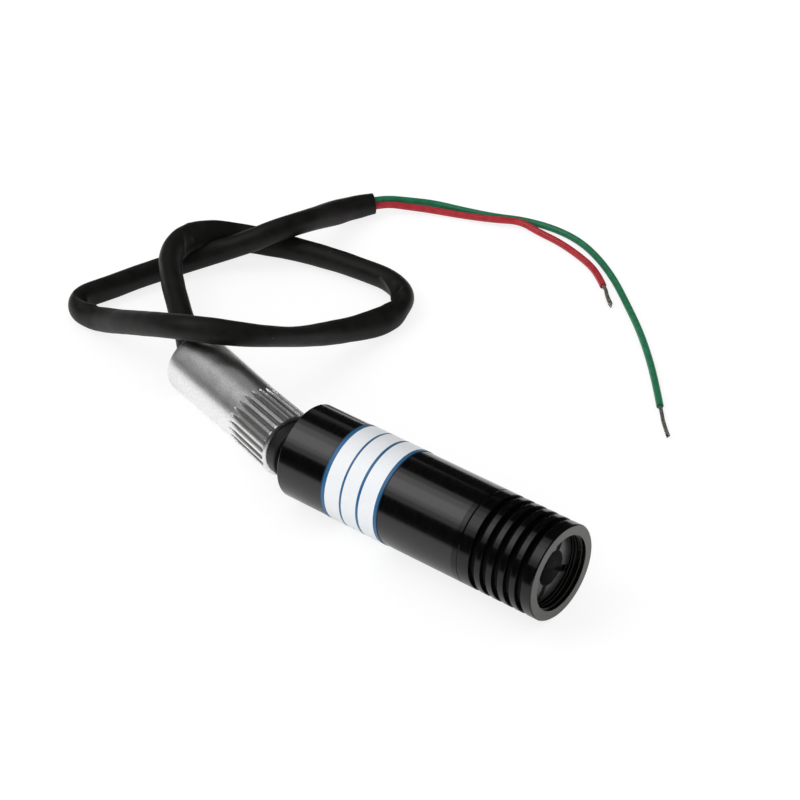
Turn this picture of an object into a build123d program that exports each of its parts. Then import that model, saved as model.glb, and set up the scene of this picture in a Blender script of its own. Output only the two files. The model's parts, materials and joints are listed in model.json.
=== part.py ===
from build123d import *
import os
from math import cos, degrees, pi, radians, sin, sqrt, tan

# Laser diode module: a ribbed aluminium head and barrel with a focusing lens, a diode and its driver inside,
# and a jack plug with a sleeved two-wire lead that lies in a loose knot behind it.
# Millimetres. The origin is the centre of the front mouth, +X is the beam, +Z is up, and the module lies
# on its side on a surface at floor_z.

# Body outline
body_d = 16.0
body_length = 50.0
head_length = 14.0
edge_chamfer = 0.3
seam_chamfer = 0.12
label_thickness = 0.08
label_start = 29.6
label_length = 11.4

# Cooling grooves of the head
groove_count = 5
groove_width = 1.1
groove_pitch = 2.2
groove_depth = 1.0
front_land = 1.9

# Walls and bores of the head and the barrel
mouth_wall = 1.8
mouth_depth = 1.8
thread_step = 0.25
screw_clearance = 0.05
barrel_wall = 1.2
spigot_length = 5.0
rear_wall = 1.5
rear_hole_d = 8.0

# Lens holder, lens and focusing spring
holder_setback = 0.2
holder_length = 7.0
holder_hub_d = 9.2
holder_shoulder = 1.0
aperture_d = 5.8
slot_count = 4
slot_width = 0.95
slot_depth = 1.3
slot_angle = 58.0
lens_d = 6.4
lens_edge = 1.2
lens_crown = 0.9
lens_seat_depth = 2.2
lens_fit = 0.03
clamp_ring_length = 1.4
clamp_ring_hole_d = 4.8
spring_length = 3.5
spring_wire_d = 0.5
spring_turns = 3.0
spring_fit = 0.35

# Laser diode and its mount
mount_length = 5.0
mount_bore_d = 4.0
header_d = 5.6
header_thickness = 1.2
cap_d = 3.55
cap_height = 2.3
cap_wall = 0.15
window_hole_d = 1.6
window_thickness = 0.25
diode_clamp_length = 1.5
diode_clamp_hole_d = 3.4
pin_d = 0.45
pin_length = 6.5
chip_block_size = 1.0

# Driver board and what is on it
board_thickness = 1.0
board_margin = 0.12
board_gap = 1.5
liner_wall = 0.25
liner_clearance = 0.05
liner_end_gap = 0.3
ic_length = 4.9
ic_width = 3.9
ic_height = 1.5
ic_standoff = 0.1
lead_thickness = 0.2
capacitor_size = (3.2, 1.6, 1.6)
capacitor_place = (4.6, 3.9)
resistor_size = (0.8, 1.6, 0.5)
resistor_count = 4
resistor_start = 7.4
resistor_pitch = 2.0
resistor_margin = 0.8
component_gap = 0.5
trimmer_side = 3.2
trimmer_height = 1.4
rotor_d = 2.2
rotor_height = 0.35

# Plug: its pose, shank and cover. Plug sizes run along its own axis from the cover's front rim.
plug_standoff = 4.2
plug_y = 0.7
plug_z = -1.8
plug_yaw = 16.8
plug_droop = 1.1
cover_length = 29.5
cover_front_d = 11.0
cover_waist_d = 10.6
cover_rear_d = 11.0
cover_wall = 0.65
cover_rear_wall = 1.2
cover_edge = 0.35
knurl_length = 11.0
knurl_count = 26
knurl_depth = 0.32
knurl_cutter_d = 1.0
collar_d = 9.8
collar_length = 2.2
collar_edge = 0.3
collar_thread_length = 5.0
shank_d = 2.5
shank_length = 7.5
shank_bore_d = 1.5
shank_tail = 1.5
insulator_ring = 0.5
tip_rod_d = 0.8
tip_length = 3.0
tip_neck_d = 1.7
lug_length = 3.0
clamp_thickness = 0.4
clamp_length = 2.6
sleeve_entry = 17.0
part_clearance = 0.1

# Socket on the driver board, with a mouth that the tilted shank can swing in
socket_length = 9.0
socket_clearance = 0.1
socket_bore_d = 5.2
socket_front_wall = 0.8
leaf_thickness = 0.25
leaf_width = 1.6
touch_gap = 0.03

# Lead: the sleeve, its two wires and their stripped ends
sleeve_d = 4.2
wire_d = 1.25
strand_d = 0.6
wire_exit = 2.5
entry_clearance = 0.2
floor_gap = 0.05

# Worked-out places and radii
body_r = body_d / 2
mouth_d = body_d - 2 * mouth_wall
thread_bore_d = mouth_d - 2 * thread_step
barrel_bore_d = body_d - 2 * barrel_wall
floor_z = -(body_r + label_thickness)
seam_x = -head_length
rear_x = -body_length
rear_inside_x = rear_x + rear_wall
plug_x = rear_x - plug_standoff
holder_x = -(mouth_depth + holder_setback)
holder_rear_x = holder_x - holder_length
mount_x = holder_rear_x - spring_length
mount_rear_x = mount_x - mount_length
head_rear_x = seam_x - spigot_length
holder_d = thread_bore_d - 2 * screw_clearance
pin_circle_r = (board_thickness + pin_d) / 1.5
board_z = pin_circle_r / 4
board_top = board_z + board_thickness / 2
board_bottom = board_z - board_thickness / 2
board_x = mount_rear_x - diode_clamp_length - board_gap
board_rear_x = rear_inside_x + socket_length
board_length = board_x - board_rear_x
liner_r = barrel_bore_d / 2 - liner_clearance
liner_bore_r = liner_r - liner_wall
board_half_width = sqrt((liner_bore_r - board_margin) ** 2 - board_top ** 2)
sleeve_lay = floor_z + sleeve_d / 2 + floor_gap
wire_lay = floor_z + wire_d / 2 + floor_gap

# Routes of the lead over the surface, as corners of straight runs that arcs round off. Each point is
# (x from the body's rear face, y, height of the middle above its lay on the surface).
sleeve_route = [
    (-37.7, 13.2, 3.2),
    (-41.5, 16.3, 3.6),
    (-45.6, 19.5, 3.9),
    (-49.5, 22.6, 4.2),
    (-53.4, 26.0, 4.6),
    (-57.2, 30.1, 4.7),
    (-58.9, 34.4, 4.7),
    (-59.8, 39.0, 4.2),
    (-60.1, 43.6, 2.3),
    (-57.9, 47.5, 0.4),
    (-53.2, 49.5, 0.0),
    (-45.8, 51.1, 0.0),
    (-38.1, 52.6, 0.0),
    (-31.2, 53.3, 0.0),
    (-25.6, 53.2, 0.0),
    (-20.9, 50.7, 0.0),
    (-18.6, 45.3, 0.2),
    (-19.4, 39.4, 1.1),
    (-20.9, 31.7, 2.8),
    (-21.9, 22.5, 6.3),
    (-23.9, 13.9, 10.5),
    (-29.2, 8.7, 12.1),
    (-36.1, 7.1, 10.8),
    (-46.4, 8.9, 6.1),
    (-55.3, 11.0, 1.5),
    (-59.1, 11.3, 0.2),
    (-62.3, 11.7, 0.0),
    (-64.8, 13.6, 0.0),
    (-65.7, 16.6, 0.0),
    (-64.0, 21.0, 0.0),
    (-61.6, 28.0, 0.0),
    (-58.7, 35.6, 0.0),
    (-55.3, 41.5, 0.8),
    (-50.6, 44.4, 3.2),
    (-47.9, 47.9, 4.7),
    (-46.0, 53.4, 4.6),
    (-46.4, 62.6, 1.8),
    (-46.3, 68.4, 0.2),
    (-44.6, 71.8, 0.0),
]
green_route = [
    (-40.8, 77.8, 0.6),
    (-37.2, 80.3, 0.2),
    (-32.0, 81.9, 0.0),
    (-25.9, 83.8, 0.0),
    (-21.1, 86.2, 0.0),
    (-15.0, 87.4, 0.0),
    (-9.1, 86.9, 0.0),
    (-3.2, 84.5, 0.0),
    (3.1, 80.6, 0.0),
    (9.1, 75.8, 0.0),
    (16.1, 70.0, 0.0),
    (22.3, 64.0, 0.0),
    (27.6, 58.3, 0.0),
    (31.6, 53.7, 0.0),
]
red_route = [
    (-40.0, 75.6, 0.7),
    (-36.6, 78.0, 0.2),
    (-30.8, 80.3, 0.1),
    (-24.9, 82.5, 0.4),
    (-21.0, 85.0, 0.4),
    (-16.5, 84.5, 0.1),
    (-11.1, 84.2, 0.0),
    (-4.2, 82.2, 0.0),
    (-0.1, 80.1, 0.0),
    (3.0, 77.5, 0.0),
]
green_strand_route = [(32.8, 52.4, 0.0), (34.8, 50.0, 0.0), (37.6, 47.4, 0.0)]
red_strand_route = [(4.0, 76.9, 0.0), (5.6, 75.0, 0.0), (7.8, 73.2, 0.0)]

node = {}


def turned(points):
    """Solid turned about the X axis from (x, radius) corners."""
    return revolve(Plane.XY * make_face(Polyline(*points, close=True)), Axis.X, 360)


def tube(x0, x1, outer_r, inner_r=0.0):
    """Plain ring or disc about the X axis between two places along it."""
    low, high = min(x0, x1), max(x0, x1)
    return turned([(low, inner_r), (high, inner_r), (high, outer_r), (low, outer_r)])


def strip(points, thickness, width):
    """Thin bent strip: its middle line in the XY plane, its width along Z."""
    return extrude(Plane.XY * trace(Polyline(*points), thickness), amount=width / 2, both=True)


def around(count, shape, phase=0.0):
    """Copies of a shape spaced evenly about the X axis."""
    return [Rot(phase + 360 * i / count, 0, 0) * shape for i in range(count)]


# Body: head, barrel and label

def ribbed_head():
    """Front half of the housing, turned with cooling grooves, a bored mouth and a spigot for the barrel."""
    r = body_r
    spigot_r = barrel_bore_d / 2 - screw_clearance
    outline = [(0, mouth_d / 2), (0, r - edge_chamfer), (-edge_chamfer, r)]
    for i in range(groove_count):
        start = -(front_land + i * groove_pitch)
        outline += [(start, r), (start, r - groove_depth)]
        outline += [(start - groove_width, r - groove_depth), (start - groove_width, r)]
    outline += [(seam_x + seam_chamfer, r), (seam_x, r - seam_chamfer), (seam_x, spigot_r)]
    outline += [(head_rear_x, spigot_r), (head_rear_x, thread_bore_d / 2)]
    outline += [(-mouth_depth, thread_bore_d / 2), (-mouth_depth, mouth_d / 2)]
    return turned(outline)


def barrel_body():
    """Rear half of the housing: a tube closed by a wall with a hole for the plug's shank."""
    r = body_r
    bore_r = barrel_bore_d / 2
    hole_r = rear_hole_d / 2
    outline = [(seam_x, bore_r), (seam_x, r - seam_chamfer), (seam_x - seam_chamfer, r)]
    outline += [(rear_x + edge_chamfer, r), (rear_x, r - edge_chamfer), (rear_x, hole_r)]
    outline += [(rear_inside_x, hole_r), (rear_inside_x, bore_r)]
    return turned(outline)


def label_wrap():
    """Film label wrapped round the barrel."""
    return tube(-label_start, -(label_start + label_length), body_r + label_thickness, body_r)


# Optics

def lens_holder():
    """Screwed holder with a raised hub, key slots across its face and a pocket for the lens behind."""
    r = holder_d / 2
    pocket_r = lens_d / 2 + lens_fit
    seat_x = holder_x - lens_seat_depth
    outline = [(holder_x, aperture_d / 2), (holder_x, holder_hub_d / 2), (holder_x - holder_shoulder, r)]
    outline += [(holder_rear_x, r), (holder_rear_x, pocket_r), (seat_x, pocket_r), (seat_x, aperture_d / 2)]
    slot = Pos(holder_x, 0, body_r / 2) * Box(2 * slot_depth, slot_width, body_r)
    return turned(outline) - around(slot_count, slot, slot_angle - 90)


def collimating_lens():
    """Lens with a crowned front and a flat back."""
    front_x = holder_x - lens_seat_depth
    back_x = front_x - lens_edge
    r = lens_d / 2
    crown_r = aperture_d / 2 - part_clearance
    profile = Polyline((front_x, crown_r), (front_x, r), (back_x, r), (back_x, 0), (front_x + lens_crown, 0))
    bulge = (crown_r ** 2 + lens_crown ** 2) / (2 * lens_crown)
    centre_x = front_x + lens_crown - bulge
    half_angle = radians(degrees(crown_r / bulge) / 2)
    middle = (centre_x + bulge * cos(half_angle), bulge * sin(half_angle))
    crown = ThreePointArc((front_x + lens_crown, 0), middle, (front_x, crown_r))
    return revolve(Plane.XY * make_face([profile, crown]), Axis.X, 360)


def lens_clamp_ring():
    """Ring screwed into the holder behind the lens."""
    front_x = holder_x - lens_seat_depth - lens_edge
    return tube(front_x, front_x - clamp_ring_length, lens_d / 2, clamp_ring_hole_d / 2)


def focus_spring():
    """Coil spring that keeps the holder's thread from rattling, between the holder and the diode mount."""
    mean_r = thread_bore_d / 2 - spring_fit - spring_wire_d / 2
    free = spring_length - spring_wire_d - 2 * touch_gap
    coil = Helix(pitch=free / spring_turns, height=free, radius=mean_r)
    wire = sweep(Plane(origin=coil @ 0, z_dir=coil % 0) * Circle(spring_wire_d / 2), path=coil)
    return Pos(mount_x + touch_gap + spring_wire_d / 2, 0, 0) * Rot(0, 90, 0) * wire


# Laser diode

def diode_mount():
    """Heat-conducting insert that carries the diode in the head."""
    r = holder_d / 2
    seat_x = mount_rear_x + header_thickness
    seat_r = header_d / 2 + lens_fit
    outline = [(mount_x, mount_bore_d / 2), (mount_x, r), (mount_rear_x, r)]
    outline += [(mount_rear_x, seat_r), (seat_x, seat_r), (seat_x, mount_bore_d / 2)]
    return turned(outline)


def diode_clamp_ring():
    """Ring that holds the diode in its seat."""
    return tube(mount_rear_x, mount_rear_x - diode_clamp_length, holder_d / 2, diode_clamp_hole_d / 2)


def diode_parts():
    """Sealed diode can: header, cap, window, chip block and three pins."""
    face_x = mount_rear_x + header_thickness
    cap_r = cap_d / 2
    top_x = face_x + cap_height
    node["diode_header"] = tube(mount_rear_x, face_x, header_d / 2)
    outline = [(face_x, cap_r - cap_wall), (face_x, cap_r), (top_x, cap_r), (top_x, window_hole_d / 2)]
    outline += [(top_x - cap_wall, window_hole_d / 2), (top_x - cap_wall, cap_r - cap_wall)]
    node["diode_cap"] = turned(outline)
    window_x = top_x - cap_wall
    node["diode_window"] = tube(window_x - window_thickness, window_x, cap_r - 2 * cap_wall)
    s = chip_block_size
    chip = Pos(face_x + s, 0, s / 2) * Box(0.3, 0.25, 0.1, align=(Align.MAX, Align.CENTER, Align.MIN))
    block = Pos(face_x + s / 2, 0, 0) * Box(s, s, s)
    node["diode_chip_block"] = block + chip
    pin = Pos(mount_rear_x, 0, pin_circle_r) * Rot(0, -90, 0)
    pin = pin * Cylinder(pin_d / 2, pin_length, align=(Align.CENTER, Align.CENTER, Align.MIN))
    node["diode_pins"] = Compound(around(3, pin))


# Driver board

def driver_board():
    """Circuit board whose front edge sits between the diode's pins."""
    middle = (board_x + board_rear_x) / 2
    return Pos(middle, 0, board_z) * Box(board_length, 2 * board_half_width, board_thickness)


def on_board(x, y, length, width, height, lift=0.0):
    """Block that stands on the board's upper face."""
    block = Box(length, width, height, align=(Align.CENTER, Align.CENTER, Align.MIN))
    return Pos(board_x - x, y, board_top + lift) * block


def board_components():
    """Driver chip with its legs, capacitors, resistors and the power trimmer."""
    trimmer_x, trimmer_y = board_length - component_gap - trimmer_side / 2, 0.6
    ic_x = trimmer_x - trimmer_side / 2 - component_gap - ic_length / 2
    node["driver_ic"] = on_board(ic_x, 0, ic_length, ic_width, ic_height, ic_standoff)
    node["ic_legs"] = Compound(ic_legs(ic_x))
    capacitor_x, capacitor_y = capacitor_place
    capacitors = [on_board(capacitor_x, side * capacitor_y, *capacitor_size) for side in (-1, 1)]
    node["board_capacitors"] = Compound(capacitors)
    row_y = board_half_width - resistor_margin - resistor_size[1] / 2
    row = [resistor_start + resistor_pitch * i for i in range(resistor_count)]
    node["board_resistors"] = Compound([on_board(x, row_y, *resistor_size) for x in row])
    node["power_trimmer"] = on_board(trimmer_x, trimmer_y, trimmer_side, trimmer_side, trimmer_height)
    rotor = Cylinder(rotor_d / 2, rotor_height, align=(Align.CENTER, Align.CENTER, Align.MIN))
    driver_slot = Pos(0, 0, rotor_height) * Box(rotor_d, rotor_d / 5, rotor_height)
    top = board_top + trimmer_height
    node["trimmer_rotor"] = Pos(board_x - trimmer_x, trimmer_y, top) * (rotor - driver_slot)


def ic_legs(ic_x):
    """Eight bent legs, four a side, from the chip's flanks down to the board."""
    reach = 1.0
    drop = ic_standoff + ic_height / 2 - lead_thickness / 2
    shape = [(0, drop), (reach / 2, drop), (reach / 2, 0), (reach, 0)]
    leg = Rot(90, 90, 0) * strip(shape, lead_thickness, 0.4)
    legs = []
    for side in (0, 180):
        for i in range(4):
            place = Pos(board_x - ic_x + 1.27 * (i - 1.5), 0, board_top + lead_thickness / 2)
            legs.append(place * Rot(0, 0, side) * Pos(0, ic_width / 2, 0) * leg)
    return legs


def board_liner():
    """Insulating tube between the board and the barrel."""
    return tube(head_rear_x - liner_end_gap, rear_inside_x + liner_end_gap, liner_r, liner_bore_r)


# Plug, in its own frame: X along the plug to the front, 0 at the front rim of its cover

plug_place = Pos(plug_x, plug_y, plug_z) * Rot(0, -plug_droop, -plug_yaw)


def plug_point(x, y=0.0, z=0.0):
    """Place in the module's frame of a point in the plug's own frame."""
    return Vector(*(plug_place * Pos(x, y, z)).position)


def plug_cover():
    """Metal cover: a turned shell with straight flutes cut in its front end and a hole for the lead."""
    front_r, waist_r, rear_r = cover_front_d / 2, cover_waist_d / 2, cover_rear_d / 2
    bore_r = waist_r - cover_wall
    hole_r = sleeve_d / 2 + entry_clearance
    rear = -cover_length
    outline = [(0, bore_r), (0, front_r - cover_edge), (-cover_edge, front_r), (-knurl_length, waist_r)]
    outline += [(rear + cover_edge, rear_r), (rear, rear_r - cover_edge), (rear, hole_r)]
    outline += [(rear + cover_rear_wall, hole_r), (rear + cover_rear_wall, bore_r)]
    cutter_r = knurl_cutter_d / 2
    lean = degrees((front_r - waist_r) / knurl_length)
    flute = Rot(0, -90, 0) * Cylinder(cutter_r, knurl_length, align=(Align.CENTER, Align.CENTER, Align.MIN))
    flute = Pos(0, 0, front_r - knurl_depth + cutter_r) * Rot(0, -lean, 0) * flute
    return turned(outline) - around(knurl_count, flute)


def plug_collar():
    """Moulded collar that the cover screws on to, with the shank through it."""
    thread_r = cover_waist_d / 2 - cover_wall - part_clearance
    r = collar_d / 2
    outline = [(-collar_thread_length, shank_d / 2), (-collar_thread_length, thread_r), (0, thread_r), (0, r)]
    outline += [(collar_length - collar_edge, r), (collar_length, r - collar_edge)]
    outline += [(collar_length, shank_d / 2)]
    return turned(outline)


def plug_contacts():
    """Shank, tip and the insulator between them, with the tip's solder lug."""
    shank_end = collar_length + shank_length
    shank_start = -collar_thread_length - shank_tail
    ring_end = shank_end + insulator_ring
    tip_end = ring_end + tip_length
    shank_r, bore_r, rod_r = shank_d / 2, shank_bore_d / 2, tip_rod_d / 2
    node["plug_shank"] = tube(shank_start, shank_end, shank_r, bore_r)
    insulator = tube(shank_start - 0.5, shank_end, bore_r, rod_r)
    node["plug_insulator"] = insulator + tube(shank_end, ring_end, shank_r, rod_r)
    lug_start = shank_start - 0.5 - lug_length
    outline = [(lug_start, 0), (lug_start, rod_r), (ring_end, rod_r), (ring_end, shank_r)]
    outline += [(ring_end + 0.5, shank_r)]
    outline += [(ring_end + 1.0, tip_neck_d / 2), (ring_end + 1.6, shank_r), (tip_end - 0.8, 0.85 * shank_r)]
    outline += [(tip_end, 0.3), (tip_end, 0)]
    node["plug_tip"] = turned(outline)
    lug = Pos(lug_start - lug_length / 2, 0, 0) * Box(lug_length, 1.8, lead_thickness)
    node["plug_lug"] = lug + tube(lug_start - 0.3, lug_start, rod_r * 1.5)


def cable_clamp():
    """Metal tail on the shank, whose end is folded round the lead's sleeve."""
    grip_r = sleeve_d / 2 + touch_gap
    outer_r = grip_r + clamp_thickness
    grip_x = -sleeve_entry
    grip = tube(grip_x - clamp_length, grip_x, outer_r, grip_r)
    split = Pos(grip_x - clamp_length / 2, 0, outer_r) * Box(2 * clamp_length, sleeve_d / 3, outer_r)
    start = -collar_thread_length
    tail_z = -(grip_r + clamp_thickness / 2)
    length = start - grip_x
    tail = Pos(start - length / 2, 0, tail_z) * Box(length, 1.6, clamp_thickness)
    washer = tube(start - clamp_thickness, start, outer_r, shank_d / 2)
    return (grip - split) + tail + washer


def plug_liner():
    """Insulating paper tube inside the cover."""
    r = cover_waist_d / 2 - cover_wall - part_clearance
    rear = -cover_length + cover_rear_wall + part_clearance
    return tube(rear, -collar_thread_length - clamp_thickness, r, r - liner_wall)


def wire_tails():
    """Ends of the two wires inside the plug, from the sleeve to the lug and the clamp's tail."""
    start = -sleeve_entry
    long = sleeve_entry - collar_thread_length - shank_tail - lug_length - 2.0
    lay = lead_thickness / 2 + wire_d / 2
    tip_wire = tube(start, start + long, wire_d / 2)
    return Compound([Pos(0, 0, lay) * tip_wire, Pos(0, 0, -lay - touch_gap) * tip_wire])


def plug_parts():
    """Every piece of the plug, moved from its own frame to its place behind the barrel."""
    made = set(node)
    node["plug_cover"] = plug_cover()
    node["plug_collar"] = plug_collar()
    plug_contacts()
    node["cable_clamp"] = cable_clamp()
    node["plug_liner"] = plug_liner()
    node["wire_tails"] = wire_tails()
    for name in set(node) - made:
        node[name] = plug_place * node[name]


# Socket, in the module's frame, around the middle of the shank's inserted stretch

tip_end_point = plug_point(collar_length + shank_length + insulator_ring + tip_length)


def shank_centre(x):
    """Middle of the shank where it passes a place along the body."""
    start, end = plug_point(0), tip_end_point
    share = (x - start.X) / (end.X - start.X)
    return start + (end - start) * share


def socket_parts():
    """Moulded socket with an offset cavity and two leaf springs that press on the plug's tip and shank."""
    mouth, end = shank_centre(rear_inside_x), tip_end_point
    axis_y, axis_z = (mouth.Y + end.Y) / 2, (mouth.Z + end.Z) / 2
    bore_r = socket_bore_d / 2
    shell = tube(rear_inside_x, board_rear_x, liner_bore_r - socket_clearance)
    cavity = Pos(0, axis_y, axis_z) * tube(rear_inside_x, board_rear_x - socket_front_wall, bore_r)
    skew = shank_d / 2 / cos(radians(plug_yaw)) + leaf_thickness / 2 + 2 * touch_gap
    tip_x = end.X - 1.4
    tip_touch = (tip_x, shank_centre(tip_x).Y + skew)
    tag_y = axis_y + bore_r - 4 * leaf_thickness
    tip_line = [(board_rear_x + 2.0, tag_y), (tip_x + 1.4, tag_y), tip_touch, (tip_x - 1.9, tag_y)]
    tip_spring = Pos(0, 0, axis_z) * strip(tip_line, leaf_thickness, leaf_width)
    grip_x = rear_inside_x + 2.0
    grip = shank_centre(grip_x)
    leaf_z = axis_z - bore_r + 2 * leaf_thickness
    grip_z = grip.Z - shank_d / 2 - leaf_thickness / 2 - touch_gap
    rise_z = board_bottom - leaf_thickness / 2
    line = [(board_rear_x + 2.6, rise_z), (board_rear_x + 1.0, rise_z), (board_rear_x + 0.8, leaf_z)]
    line += [(grip_x + 1.8, leaf_z), (grip_x, grip_z), (grip_x - 1.4, leaf_z)]
    sleeve_spring = Pos(0, grip.Y, 0) * Rot(90, 0, 0) * strip(line, leaf_thickness, leaf_width)
    node["socket_shell"] = shell - cavity - tip_spring - sleeve_spring
    node["socket_tip_spring"] = tip_spring
    node["socket_sleeve_spring"] = sleeve_spring


# Lead

def route(points, lay):
    """Corners of a route, from places over the surface and heights above the lay."""
    return [Vector(rear_x + x, y, lay + height) for x, y, height in points]


def bend_radii(corners):
    """Radius at each corner: as large as its two runs allow."""
    radii = []
    for before, corner, after in zip(corners, corners[1:], corners[2:]):
        run_in, run_out = corner - before, after - corner
        turn = radians(run_in.get_angle(run_out))
        radii.append(0.45 * min(run_in.length, run_out.length) / tan(turn / 2))
    return radii


def cord(name, corners, diameter):
    """Plain round tube along straight runs joined by arcs."""
    radii = bend_radii(corners)
    path = FilletPolyline(*corners, radius=radii)
    section = Plane(origin=path @ 0, z_dir=path % 0) * Circle(diameter / 2)
    node[name] = sweep(section, path=path)
    share = node[name].volume / (pi * diameter ** 2 / 4 * path.length)
    print(name, "length", round(path.length, 1), "volume share", round(share, 4))
    print("  radii", [round(r, 1) for r in radii])


def lead_parts():
    """Sleeve from the plug to its cut end, the two wires past it and their stripped strands."""
    sleeve = [plug_point(-sleeve_entry), plug_point(-cover_length - 2.0)] + route(sleeve_route, sleeve_lay)
    cord("cable_sleeve", sleeve, sleeve_d)
    out = (sleeve[-1] - sleeve[-2]).normalized()
    beside = Vector(-out.Y, out.X, 0).normalized()
    across = beside * 0.3 + out.cross(beside) * (wire_d / 2 + floor_gap)
    green_start, red_start = sleeve[-1] + across, sleeve[-1] - across
    green = [green_start, green_start + out * wire_exit] + route(green_route, wire_lay)
    red = [red_start, red_start + out * wire_exit] + route(red_route, wire_lay)
    cord("green_lead", green, wire_d)
    cord("red_lead", red, wire_d)
    cord("green_strands", [green[-1]] + route(green_strand_route, wire_lay), strand_d)
    cord("red_strands", [red[-1]] + route(red_strand_route, wire_lay), strand_d)


node["ribbed_head"] = ribbed_head()
node["barrel_body"] = barrel_body()
node["label_wrap"] = label_wrap()
node["lens_holder"] = lens_holder()
node["collimating_lens"] = collimating_lens()
node["lens_clamp_ring"] = lens_clamp_ring()
node["focus_spring"] = focus_spring()
node["diode_mount"] = diode_mount()
node["diode_clamp_ring"] = diode_clamp_ring()
diode_parts()
node["driver_board"] = driver_board()
board_components()
node["board_liner"] = board_liner()
plug_parts()
socket_parts()
lead_parts()

os.makedirs("parts", exist_ok=True)
for name, shape in node.items():
    export_step(shape, f"parts/{name}.step")
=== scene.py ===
import json
from bisect import bisect
from math import atan2, cos, exp, hypot, pi, radians, sin, sqrt, tau

import bmesh
import bpy
from mathutils import Matrix, Vector, noise


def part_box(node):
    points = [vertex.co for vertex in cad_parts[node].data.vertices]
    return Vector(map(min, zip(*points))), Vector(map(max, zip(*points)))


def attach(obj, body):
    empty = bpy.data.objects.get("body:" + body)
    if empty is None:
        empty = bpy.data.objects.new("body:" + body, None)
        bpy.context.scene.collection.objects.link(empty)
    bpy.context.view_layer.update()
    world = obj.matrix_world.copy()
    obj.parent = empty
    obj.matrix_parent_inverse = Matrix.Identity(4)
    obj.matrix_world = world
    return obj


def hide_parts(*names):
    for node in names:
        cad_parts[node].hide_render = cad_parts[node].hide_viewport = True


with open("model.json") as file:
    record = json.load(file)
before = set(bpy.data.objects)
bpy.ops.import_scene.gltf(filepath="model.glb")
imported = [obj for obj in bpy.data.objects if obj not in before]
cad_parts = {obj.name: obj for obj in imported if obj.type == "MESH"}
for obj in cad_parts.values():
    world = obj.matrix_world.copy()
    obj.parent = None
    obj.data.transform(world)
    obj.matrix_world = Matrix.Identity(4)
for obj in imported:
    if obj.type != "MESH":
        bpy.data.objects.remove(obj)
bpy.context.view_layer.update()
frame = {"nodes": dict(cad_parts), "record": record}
mm = 0.001

# Camera. A long lens looks down on the lying module from the front right, as in the photograph.
# Its place, aim and lens come from a fit to the outlines of the housing.
camera_place = Vector((199.584, -289.576, 285.185)) * mm
camera_aim = Vector((-54.109, 28.541, -8.0)) * mm
focal_length = 133.93
film_width = 36.0
lens = bpy.data.cameras.new("camera")
lens.lens = focal_length
lens.sensor_width = film_width
camera = bpy.data.objects.new("camera", lens)
camera.location = camera_place
camera.rotation_euler = (camera_aim - camera_place).to_track_quat("-Z", "Y").to_euler()
bpy.context.scene.collection.objects.link(camera)
bpy.context.scene.camera = camera
bpy.context.scene.view_settings.view_transform = "Standard"

# Floor. A pale sheet under the module. The camera sees it white, with a share of its own shade, so the
# faint shadows stay. Mirrors see mostly its shade, and see it end a little in front of the module.
rest_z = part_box("label_wrap")[0].z
floor_size = 2.5
floor_white = 0.80
floor_shade = 0.26
mirror_white = 0.22
mirror_shade = 0.93
plain_grey = (0.8, 0.8, 0.8, 1)
sheet_end = -0.075
sheet_fade = 0.035
beyond_share = 0.05


def new_material(name):
    """Empty node material with its output, for the sections below."""
    made = bpy.data.materials.new(name)
    made.use_nodes = True
    made.node_tree.nodes.clear()
    made.node_tree.nodes.new("ShaderNodeOutputMaterial")
    return made


def add_node(tree, kind, inputs=None, **settings):
    """Node of a kind, with its settings and its inputs: each a number, a colour or another node's output."""
    made = tree.nodes.new("ShaderNode" + kind)
    for key, value in settings.items():
        setattr(made, key, value)
    for key, value in (inputs or {}).items():
        if isinstance(value, bpy.types.NodeSocket):
            tree.links.new(value, made.inputs[key])
        else:
            made.inputs[key].default_value = value
    return made


def maths(tree, operation, *values, **settings):
    """Result of a sum on numbers and other nodes' outputs."""
    return add_node(tree, "Math", dict(enumerate(values)), operation=operation, **settings).outputs[0]


def ramp(tree, value, start, end, low=0.0, high=1.0):
    """Value between start and end brought to between low and high, and held there beyond them."""
    return add_node(tree, "MapRange", {0: value, 1: start, 2: end, 3: low, 4: high}).outputs[0]


def mixed_colour(tree, share, first, second):
    """Colour that goes from the first to the second as a share goes from 0 to 1."""
    return add_node(tree, "MixRGB", {0: share, 1: first, 2: second}).outputs[0]


def link_surface(made, shader):
    """Shader's output to the material's surface."""
    output = made.node_tree.nodes["Material Output"]
    made.node_tree.links.new(shader, output.inputs["Surface"])


def seen_white(tree):
    """1 for camera, mirror and glass rays, 0 for the light that rays bring from the surface."""
    path = add_node(tree, "LightPath").outputs
    seen = maths(tree, "MAXIMUM", path["Is Camera Ray"], path["Is Glossy Ray"])
    return maths(tree, "MAXIMUM", seen, path["Is Transmission Ray"])


floor_paint = new_material("floor_paint")
tree = floor_paint.node_tree
place = add_node(tree, "TexCoord").outputs["Object"]
away = add_node(tree, "SeparateXYZ", {0: place}).outputs["Y"]
near = ramp(tree, away, sheet_end, sheet_end + sheet_fade, beyond_share)
camera_ray = add_node(tree, "LightPath").outputs["Is Camera Ray"]
near = maths(tree, "MAXIMUM", near, camera_ray)
glow = ramp(tree, camera_ray, 0.0, 1.0, mirror_white, floor_white)
glow = maths(tree, "MULTIPLY", near, glow)
glow = add_node(tree, "Emission", {"Color": (1, 1, 1, 1), "Strength": glow})
shade = ramp(tree, camera_ray, 0.0, 1.0, mirror_shade, floor_shade)
shade = maths(tree, "MULTIPLY", near, shade)
shade = add_node(tree, "BsdfDiffuse", {"Color": shade})
seen = add_node(tree, "AddShader", {0: glow.outputs[0], 1: shade.outputs[0]})
plain = add_node(tree, "BsdfDiffuse", {"Color": plain_grey})
mixed = add_node(tree, "MixShader", {0: seen_white(tree), 1: plain.outputs[0], 2: seen.outputs[0]})
link_surface(floor_paint, mixed.outputs[0])

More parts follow.
